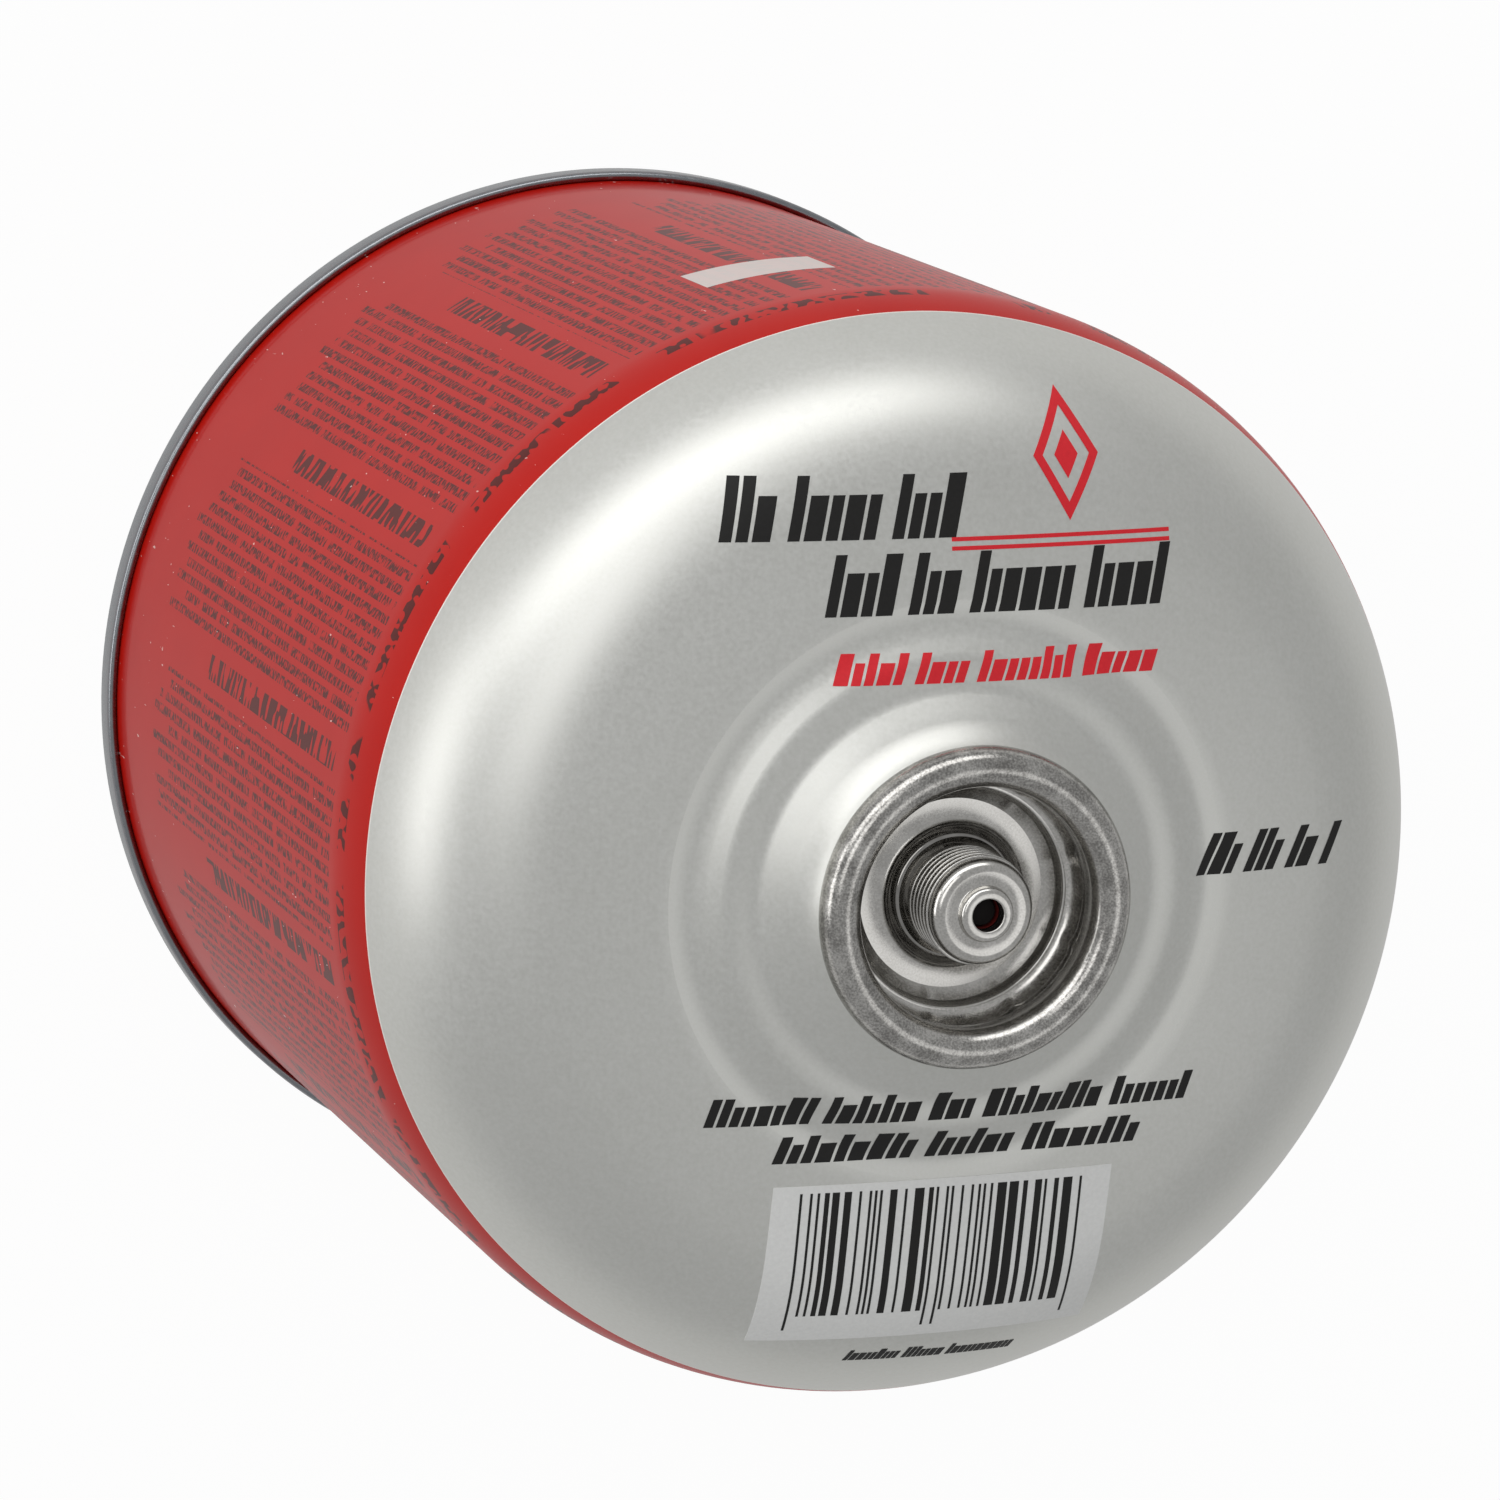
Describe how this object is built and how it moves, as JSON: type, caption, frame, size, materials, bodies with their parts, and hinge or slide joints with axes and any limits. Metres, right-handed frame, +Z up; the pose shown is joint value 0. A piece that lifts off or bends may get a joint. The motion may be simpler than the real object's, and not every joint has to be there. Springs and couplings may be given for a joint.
{
  "type": "threaded gas canister",
  "caption": "Squat steel fuel canister with a domed top, a double-seamed concave base and a threaded self-sealing valve in a crimped cup.",
  "frame": {"origin": "centre of the base, on the plane of the bottom seam", "axes": "+Z up along the can's axis, out of the valve; +Y towards the top of the print on the dome"},
  "size_m": [0.114, 0.1142, 0.1222],
  "materials": {
    "lacquered_steel": "satin red print on the wall, silver lacquer on the dome",
    "seam_steel": "rolled tinplate",
    "cup_steel": "drawn tinplate, polished by the dies",
    "cup_seal": "matte",
    "stem_seal": "matte",
    "housing_plastic": "moulded",
    "spring_steel": "drawn wire",
    "stem_plastic": "moulded"
  },
  "bodies": {
    "can": {"can_body": "lacquered_steel", "bottom_end": "seam_steel", "valve_cup": "cup_steel", "cup_gasket": "cup_seal", "stem_gasket": "stem_seal", "valve_housing": "housing_plastic", "valve_spring": "spring_steel"},
    "stem": {"valve_stem": "stem_plastic"}
  },
  "joints": [
    {"name": "stem_slide", "type": "slide", "parent": "can", "child": "stem", "axis": [0, 0, -1], "range_m": [0, 0.0018], "stiffness_N_per_m": 2000, "springref_m": -0.001, "deforming": ["valve_spring"]}
  ]
}
